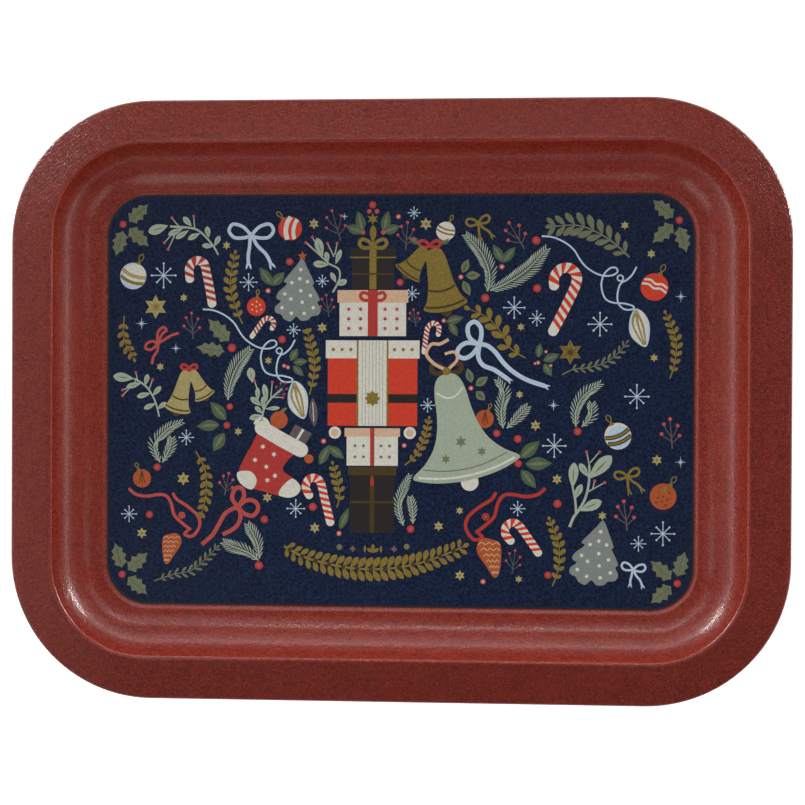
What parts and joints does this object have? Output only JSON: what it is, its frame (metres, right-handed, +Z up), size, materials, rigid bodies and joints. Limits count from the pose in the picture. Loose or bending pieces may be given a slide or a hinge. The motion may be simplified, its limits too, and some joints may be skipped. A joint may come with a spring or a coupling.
{
  "type": "serving tray",
  "caption": "Shallow rectangular serving tray with round corners, a coved wall, a sloping rim with a wired rolled edge, and a printed floor.",
  "frame": {"origin": "middle of the flat underside, in the plane that the tray stands on", "axes": "+X along the length, +Y across the width towards the top of the printed picture, +Z up"},
  "size_m": [0.4, 0.309, 0.0203],
  "materials": {
    "red_enamel": "red-brown stoving enamel on tinplate with a fine leather-grain texture, satin gloss",
    "wire_steel": "drawn mild steel wire, dull bright",
    "printed_film": "navy lithographed ground with coloured motifs under satin lacquer"
  },
  "bodies": {
    "root": {"tray_pan": "red_enamel", "edge_wire": "wire_steel", "printed_field": "printed_film"}
  },
  "joints": []
}
